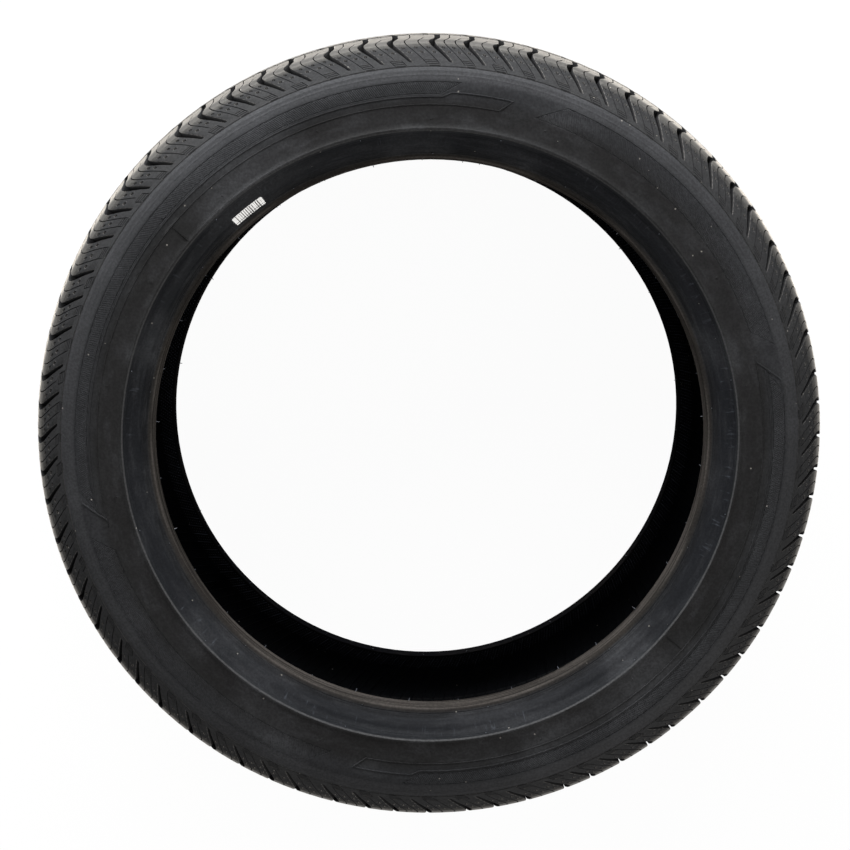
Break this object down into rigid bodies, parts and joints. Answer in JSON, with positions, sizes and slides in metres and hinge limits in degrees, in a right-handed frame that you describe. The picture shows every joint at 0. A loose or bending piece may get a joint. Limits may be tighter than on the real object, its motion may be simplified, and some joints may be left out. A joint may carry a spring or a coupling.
{
  "type": "car tyre",
  "caption": "Unmounted radial car tyre lying on its side: grooved tread band, slotted shoulders, sidewalls with rim protector ribs, beads that seat on a rim, and a paper label.",
  "frame": {"origin": "on the axle line, in the plane of the lower sidewall's rim protector rib, on which the tyre lies", "axes": "+Z along the axle line, towards the outer sidewall; +Y is up in the picture, where the tyre stands"},
  "size_m": [0.7029, 0.703, 0.245],
  "materials": {
    "tyre_rubber": "matt moulded rubber",
    "label_paper": "matt paper with black bars"
  },
  "bodies": {
    "root": {"tyre": "tyre_rubber", "stock_label": "label_paper"}
  },
  "joints": []
}
